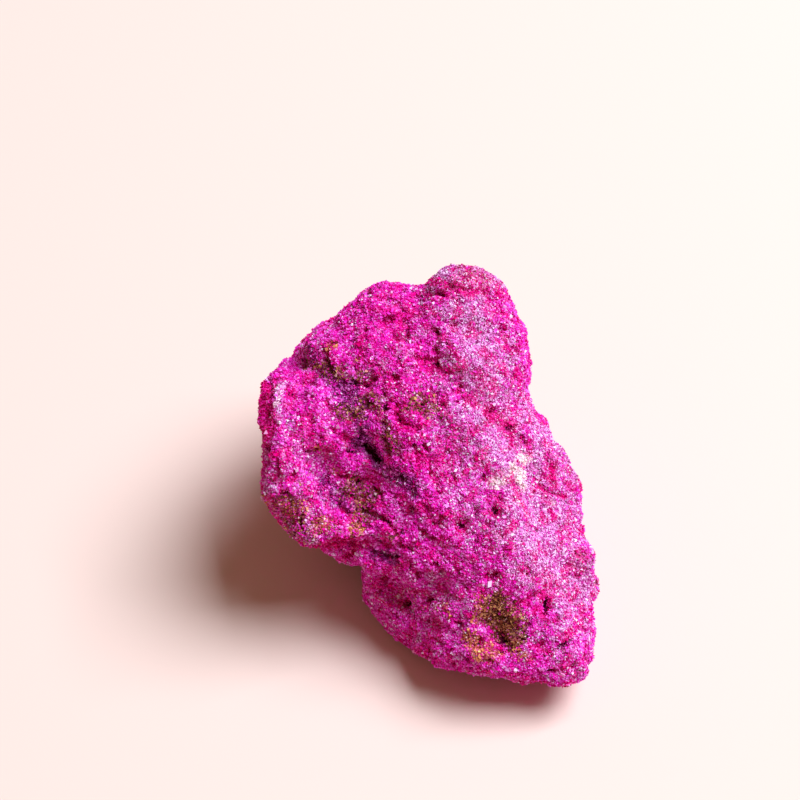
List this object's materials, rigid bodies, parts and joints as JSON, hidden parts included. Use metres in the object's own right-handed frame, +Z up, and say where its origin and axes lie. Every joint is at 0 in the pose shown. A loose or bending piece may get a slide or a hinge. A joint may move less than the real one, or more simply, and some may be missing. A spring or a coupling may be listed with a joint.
{
  "type": "ruby specimen",
  "caption": "Loose palm-sized chunk of rock, wholly covered by a sugary crust of tiny magenta crystals, with furrows, pits and a lobed, tilted broad face.",
  "frame": {"origin": "under the middle of the rock's box, on the surface that the rock lies on", "axes": "+Z up from that surface; the broad, tilted face looks towards -Y and up, with its right-hand side towards +X"},
  "size_m": [0.056, 0.0638, 0.0507],
  "materials": {
    "crystal_crust": "Opaque sugary crust of half-millimetre crystals in magenta, pink, crimson and purple, paler on the right slope, olive-brown in the hollows, with scattered small glints"
  },
  "bodies": {
    "root": {"crystal_crusted_rock": "crystal_crust"}
  },
  "joints": []
}
